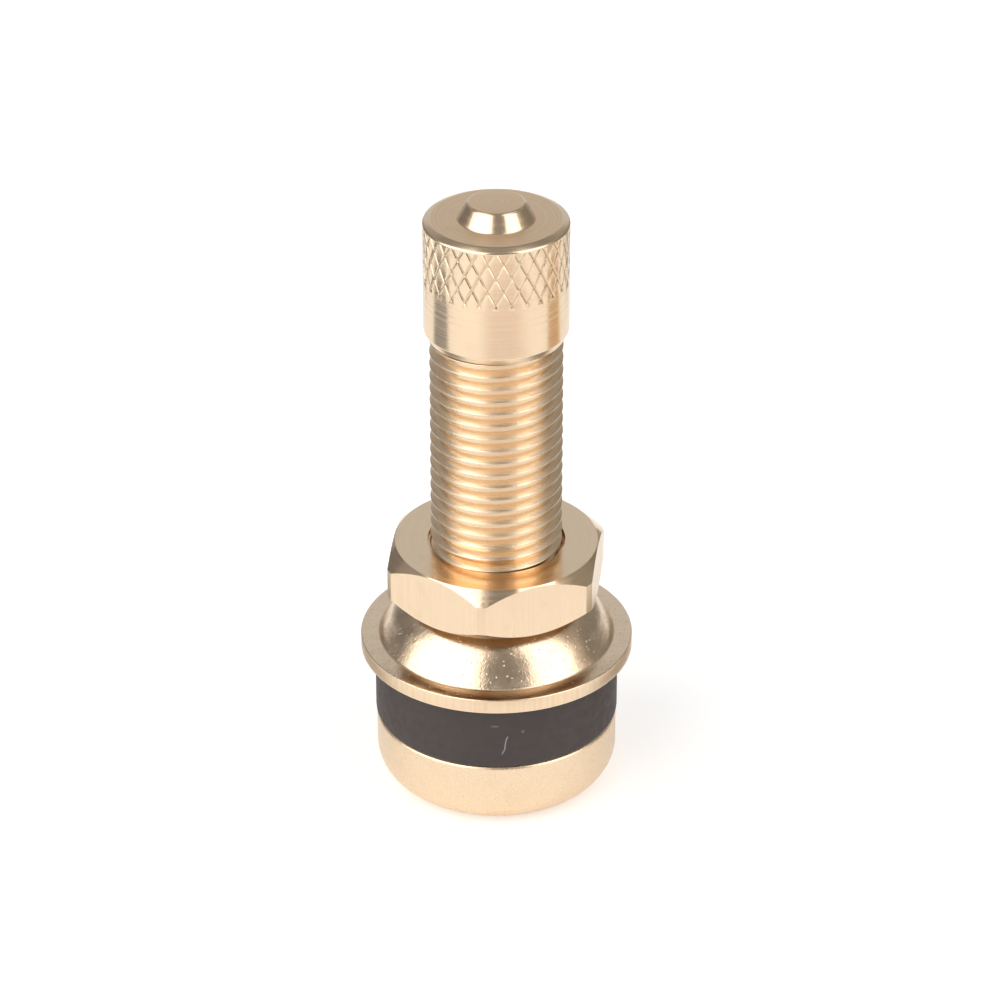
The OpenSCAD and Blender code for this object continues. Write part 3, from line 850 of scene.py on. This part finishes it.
class VALVE_OT_cap(bpy.types.Operator):
    """Turns the dust cap, its button and its skirt, and knurls its side"""

    bl_idname = "valve.cap"
    bl_label = "Knurled cap"

    def execute(self, context):
        valve = context.scene.valve
        sizes, colours = valve.cap, valve.colours
        cap_r, low, top, ceiling = CAP_HIGH.x, CAP_LOW.z, CAP_HIGH.z, DISC_HIGH.z
        bore_r = valve.stem.thread_d / 2 + sizes.bore_clear
        roof = top - sizes.button_h
        face_r = cap_r - sizes.shoulder_w
        roll_start = TURN / 4 - sizes.shoulder_fall
        fall_w = sizes.shoulder_w - sizes.shoulder_round * (1 - math.cos(roll_start))
        roll_z = roof - fall_w * math.tan(sizes.shoulder_fall) - sizes.shoulder_round * math.sin(roll_start)
        roll_c = Vector((cap_r - sizes.shoulder_round, roll_z))
        button_r, button_top_r = sizes.button_d / 2, sizes.button_top_d / 2
        band_low, band_high = sizes.knurl_low - sizes.knurl_margin, sizes.knurl_high + sizes.knurl_margin / 2
        bm = bmesh.new()
        knurled_band(bm, sizes, cap_r)
        spun(bm, [
            (0, top), (button_top_r, top), (button_r, roof), (face_r, roof),
            *arc(roll_c, sizes.shoulder_round, roll_start, 0, 7), (cap_r, band_high),
        ])
        spun(bm, [
            (cap_r, band_low), (cap_r, low + sizes.skirt_taper), (bore_r + sizes.skirt_land, low),
            (bore_r, low), (bore_r, ceiling), (0, ceiling),
        ])
        bmesh.ops.remove_doubles(bm, verts=bm.verts, dist=NEAR / 10)
        round_ring(bm, button_top_r, top, sizes.button_round, 5)
        round_ring(bm, button_r, roof, sizes.button_fillet, 3)
        round_ring(bm, face_r, roof, sizes.face_roll, 5)
        round_ring(bm, cap_r, low + sizes.skirt_taper, sizes.edge_break, 3)
        join_loops(bm, sizes.knurl_high, band_high)
        join_loops(bm, sizes.knurl_low, band_low)
        bmesh.ops.recalc_face_normals(bm, faces=bm.faces)
        for face in bm.faces:
            face.material_index = 1 if face.normal.z > CAP_LEVEL else 2 if face.normal.z > SLOPE else 0
        # The side and chamfer finishes paint shade, with some grime, into the knurl's grooves
        finishes = [
            turned_brass("cap_side_brass", colours, "hoops", 5, 0.8, 0.2, groove_grime_and_shade=True),
            turned_brass("cap_face_brass", colours, "rings", 8, 5, 0.46, streak=0.16),
            turned_brass("cap_chamfer_brass", colours, "rings", 5, 0.6, 0.19, groove_grime_and_shade=True),
        ]
        add_piece("knurled_cap", bm, finishes, "cap", "dust_cap")
        return {"FINISHED"}


class VALVE_OT_spring(bpy.types.Operator):
    """Winds the core's spring to the length of the imported one, on a mesh of its own"""

    bl_idname = "valve.spring"
    bl_label = "Core spring"

    def execute(self, context):
        sizes = context.scene.valve.spring
        wire_r, tall = sizes.wire_d / 2, SPRING_HIGH.z - SPRING_LOW.z
        start = Vector((SPRING_HIGH.x - wire_r, 0, SPRING_LOW.z + wire_r))
        bm = bmesh.new()
        upright = Matrix.Translation(start) @ Matrix.Rotation(TURN / 4, 4, "X")
        bmesh.ops.create_circle(bm, radius=wire_r, segments=WIRE_SIDES, matrix=upright)
        steps = COIL_STEPS * sizes.turns
        wind(bm, bm.verts[:] + bm.edges[:], tall - sizes.wire_d, sizes.turns, steps)
        bmesh.ops.holes_fill(bm, edges=[edge for edge in bm.edges if edge.is_boundary], sides=0)
        wire = plain_finish("spring_wire", context.scene.valve.colours.steel, 1.0, 0.25, 8, 1)
        spring = add_piece("wound_spring", bm, [wire], "core", "core_spring")
        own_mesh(spring)
        return {"FINISHED"}


class VALVE_OT_core(bpy.types.Operator):
    """Gives the core and the small seals their finishes"""

    bl_idname = "valve.core"
    bl_label = "Core finishes"

    def execute(self, context):
        colours = context.scene.valve.colours
        core = plain_finish("core_brass", colours.core, 1.0, 0.28, 6, 1.5)
        seal = plain_finish("core_seal", colours.seal, 0.0, 0.45, 5, 3)
        rubber = plain_finish("seal_rubber", colours.rubber, 0.0, 0.6, 7, 5)
        worn_by = {
            "core_plug": core, "core_barrel": core, "core_pin": core, "pin_cup": core, "barrel_seal": seal,
            "cap_seal": rubber, "cup_seal": rubber,
        }
        for node, finish in worn_by.items():
            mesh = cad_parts[node].data
            mesh.materials.clear()
            mesh.materials.append(finish)
        return {"FINISHED"}


# Stage

# Upright softboxes: azimuths of their two edges in degrees, and share of the brightness
SIDE_BOXES = {"box_left": ((-92, -17), 1.16), "box_right": ((35, 82), 1.1)}
# Softboxes overhead, in metres: middle across and along, and share of the brightness
ROOF_BOXES = {"roof_left": ((-0.26, 0.06), 0.48), "roof_right": ((0.27, 0.06), 0.3)}
# Cards that only polished metal sees: azimuths and elevations in degrees, and tone
GAP_CARDS = {
    "front_gap": ((-13, 35), (2, 76), (0.27, 0.26, 0.25)),
    "left_inner": ((-17, -13), (2, 66), (0.80, 0.74, 0.66)),
    "left_outer": ((-98, -92), (2, 62), (0.55, 0.50, 0.44)),
    "right_outer": ((82, 96), (2, 62), (0.46, 0.41, 0.34)),
    "left_gap": ((-140, -98), (0, 25), (0.20, 0.19, 0.19)),
    "left_high": ((-140, -98), (25, 45), (0.32, 0.30, 0.29)),
    "left_haze": ((-155, -140), (0, 45), (0.36, 0.34, 0.33)),
    "right_gap": ((96, 140), (0, 25), (0.23, 0.22, 0.20)),
    "right_high": ((96, 140), (25, 45), (0.31, 0.29, 0.26)),
    "right_haze": ((140, 155), (0, 45), (0.34, 0.32, 0.29)),
}
# Cards overhead, in metres: edges across and along, and tone
ROOF_CARDS = {
    "roof_gap": ((-0.1, 0.11), (-0.105, 0.23), (0.30, 0.29, 0.27)),
    "roof_back": ((-0.45, 0.45), (0.235, 0.62), (0.25, 0.24, 0.22)),
}
# Strips that lie on the floor, in metres: edges across and along, tone, and whether their edges fade
FLOOR_STRIPS = {
    "left_strip": ((-0.075, -0.045), (-0.011, 0.023), (0.27, 0.28, 0.30), False),
    "right_strip": ((0.045, 0.075), (-0.004, 0.025), (0.62, 0.42, 0.24), False),
    "left_far": ((-0.5, -0.1), (-0.105, 0.33), (0.34, 0.33, 0.32), False),
    "right_far": ((0.1, 0.5), (-0.105, 0.33), (0.34, 0.33, 0.31), False),
    "left_mid": ((-0.1, -0.042), (0.05, 0.2), (0.28, 0.27, 0.26), False),
    "right_mid": ((0.042, 0.1), (0.05, 0.2), (0.28, 0.27, 0.25), False),
    # The two near strips paint the valve's own shadow on the floor where the washer's rim mirrors it
    "left_near_shadow": ((-0.030, -0.012), (-0.007, 0.022), (0.32, 0.29, 0.26), True),
    "right_near_shadow": ((0.012, 0.032), (-0.009, 0.020), (0.26, 0.22, 0.18), True),
    "front_shade": ((-0.035, 0.06), (-0.1, -0.019), (0.87, 0.78, 0.74), True),
}


def direction(azimuth, elevation):
    """Direction from the valve, by degrees of azimuth from the camera's side and of elevation."""
    a, e = math.radians(azimuth), math.radians(elevation)
    return Vector((math.sin(a) * math.cos(e), -math.cos(a) * math.cos(e), math.sin(e)))


def add_softbox(name, middle, facing, width, tall, level):
    """Hangs a softbox of that brightness, with its middle and the way it faces given."""
    lamp = bpy.data.lights.new(name, "AREA")
    lamp.shape = "RECTANGLE"
    lamp.size, lamp.size_y = width, tall
    lamp.energy = level * math.pi * width * tall
    lamp.color = bpy.context.scene.valve.colours.lamp
    box = bpy.data.objects.new(name, lamp)
    box.location = middle
    box.rotation_euler = facing.to_track_quat("-Z", "Y").to_euler()
    bpy.context.scene.collection.objects.link(box)


def add_card(name, spots, tone, fades=False):
    """Sets a card of even tone that only polished metal sees, and that may fade towards its edges."""
    bm = bmesh.new()
    bm.faces.new([bm.verts.new(spot) for spot in spots])
    material = bpy.data.materials.new(name)
    start = bare_tree(material)
    glow = start.node("Emission", {}, {"Color": (*tone, 1), "Strength": 1.0})
    if fades:
        middle = (spots[0] + spots[2]) / 2
        half = spots[2] - middle
        place = start.node("TexCoord", out="Object")
        away = start.node("VectorMath", {"operation": "SUBTRACT"}, {0: place, 1: middle})
        across = start.node("SeparateXYZ", {}, {0: away})
        shares = abs(across * (1 / half.x)), abs(across.sibling("Y") * (1 / half.y))
        mask = smooth_ramp(start.math("MAXIMUM", *shares), 1.0, FADE_END)
        glow = start.node("MixShader", {}, {0: mask, 1: start.node("BsdfTransparent"), 2: glow})
    start.node("OutputMaterial", {}, {"Surface": glow})
    card = new_object(name, bm, [material])
    card.visible_camera = card.visible_diffuse = card.visible_shadow = False
    card.visible_transmission = card.visible_volume_scatter = False


def corners(first, second):
    """The four pairs of two spans, in order round a rectangle."""
    return [(first[0], second[0]), (first[1], second[0]), (first[1], second[1]), (first[0], second[1])]


def level_corners(across, along, height):
    """The corners of a level rectangle."""
    return [Vector((x, y, height)) for x, y in corners(across, along)]


class VALVE_OT_stage(bpy.types.Operator):
    """Sets the floor, the softboxes, the cards and the camera"""

    bl_idname = "valve.stage"
    bl_label = "Studio"

    def execute(self, context):
        stage, colours = context.scene.valve.stage, context.scene.valve.colours
        self.floor(stage, colours)
        self.world(stage, colours)
        for name, (azimuths, share) in SIDE_BOXES.items():
            half = math.radians(azimuths[1] - azimuths[0]) / 2
            outward = direction(sum(azimuths) / 2, 0)
            middle = outward * stage.box_distance + AXIS * (stage.box_h / 2 + stage.box_lift)
            width = 2 * stage.box_distance * math.tan(half)
            add_softbox(name, middle, -outward, width, stage.box_h, stage.softbox * share)
        for name, (middle, share) in ROOF_BOXES.items():
            place = Vector((*middle, stage.roof_z))
            add_softbox(name, place, -AXIS, stage.roof_w, stage.roof_l, stage.softbox * share)
        for name, (azimuths, elevations, tone) in GAP_CARDS.items():
            spots = [
                direction(azimuth, 0) * stage.card_distance
                + AXIS * stage.card_distance * math.tan(math.radians(elevation))
                for azimuth, elevation in corners(azimuths, elevations)
            ]
            add_card(name, spots, tone)
        for name, (across, along, tone, fades) in FLOOR_STRIPS.items():
            add_card(name, level_corners(across, along, stage.floor_gap), tone, fades)
        for name, (across, along, tone) in ROOF_CARDS.items():
            add_card(name, level_corners(across, along, stage.roof_z), tone)
        self.camera(context, stage)
        context.scene.view_settings.view_transform = "Standard"
        return {"FINISHED"}

    def floor(self, stage, colours):
        bm = bmesh.new()
        bmesh.ops.create_circle(
            bm, cap_ends=True, segments=LATHE_STEPS, radius=stage.floor_r,
            matrix=Matrix.Translation((0, 0, -stage.floor_gap))
        )
        material = bpy.data.materials.new("floor")
        start = bare_tree(material)
        path = start.node("LightPath", out="Is Camera Ray")
        mirrored = path.sibling("Is Glossy Ray") + path.sibling("Is Transmission Ray")
        paint = start.node("BsdfDiffuse", {}, {"Color": (*colours.floor, 1)})
        strength = path * stage.floor_glow + mirrored * stage.mirror_glow
        glow = start.node("Emission", {}, {"Color": (1, 1, 1, 1), "Strength": strength})
        both = start.node("AddShader", {}, {0: paint, 1: glow})
        start.node("OutputMaterial", {}, {"Surface": both})
        floor = new_object("floor", bm, [material])

    def world(self, stage, colours):
        world = bpy.data.worlds.new("studio")
        bpy.context.scene.world = world
        start = bare_tree(world)
        back = start.node("SeparateXYZ", {}, {0: start.node("TexCoord", out="Generated")}).sibling("Y")
        level = smooth_ramp(back, WALL_EDGE, WALL_WHOLE, stage.room, stage.wall)
        glow = start.node("Background", {}, {"Color": (*colours.room, 1), "Strength": level})
        start.node("OutputWorld", {}, {"Surface": glow})

    def camera(self, context, stage):
        lens = bpy.data.cameras.new("camera")
        lens.lens = stage.lens
        lens.clip_start, lens.clip_end = 0.01, 10
        camera = bpy.data.objects.new("camera", lens)
        back = Vector((0, -math.cos(stage.elevation), math.sin(stage.elevation)))
        camera.location = Vector((stage.aim_x, 0, stage.aim_z)) + back * stage.distance
        camera.rotation_euler = (math.pi / 2 - stage.elevation, 0, 0)
        context.scene.collection.objects.link(camera)
        context.scene.camera = camera


OPERATORS = (
    VALVE_OT_stem, VALVE_OT_grommet, VALVE_OT_washer, VALVE_OT_nut, VALVE_OT_cap, VALVE_OT_spring,
    VALVE_OT_core, VALVE_OT_stage,
)


class VALVE_PT_panel(bpy.types.Panel):
    """Lists the valve's pieces and their sizes"""

    bl_idname = "VALVE_PT_panel"
    bl_label = "Tyre valve"
    bl_space_type = "VIEW_3D"
    bl_region_type = "UI"
    bl_category = "Tyre valve"

    def draw(self, context):
        for operator in OPERATORS:
            self.layout.operator(operator.bl_idname)
        settings = context.scene.valve
        for group in ValveSettings.__annotations__:
            box = self.layout.box()
            box.label(text=group.capitalize())
            for name in getattr(settings, group).__annotations__:
                box.prop(getattr(settings, group), name)


CLASSES = (
    ValveStemSizes, ValveGrommetSizes, ValveWasherSizes, ValveNutSizes, ValveCapSizes, ValveSpringSizes,
    ValveColours, ValveStageSettings, ValveSettings, *OPERATORS, VALVE_PT_panel,
)


def register():
    for item in CLASSES:
        bpy.utils.register_class(item)
    bpy.types.Scene.valve = PointerProperty(type=ValveSettings)


def unregister():
    del bpy.types.Scene.valve
    for item in reversed(CLASSES):
        bpy.utils.unregister_class(item)


def main():
    """Builds every piece and the stage."""
    register()
    bpy.ops.valve.stem()
    bpy.ops.valve.grommet()
    bpy.ops.valve.washer()
    bpy.ops.valve.nut()
    bpy.ops.valve.cap()
    bpy.ops.valve.spring()
    bpy.ops.valve.core()
    bpy.ops.valve.stage()


if __name__ == "__main__":
    main()
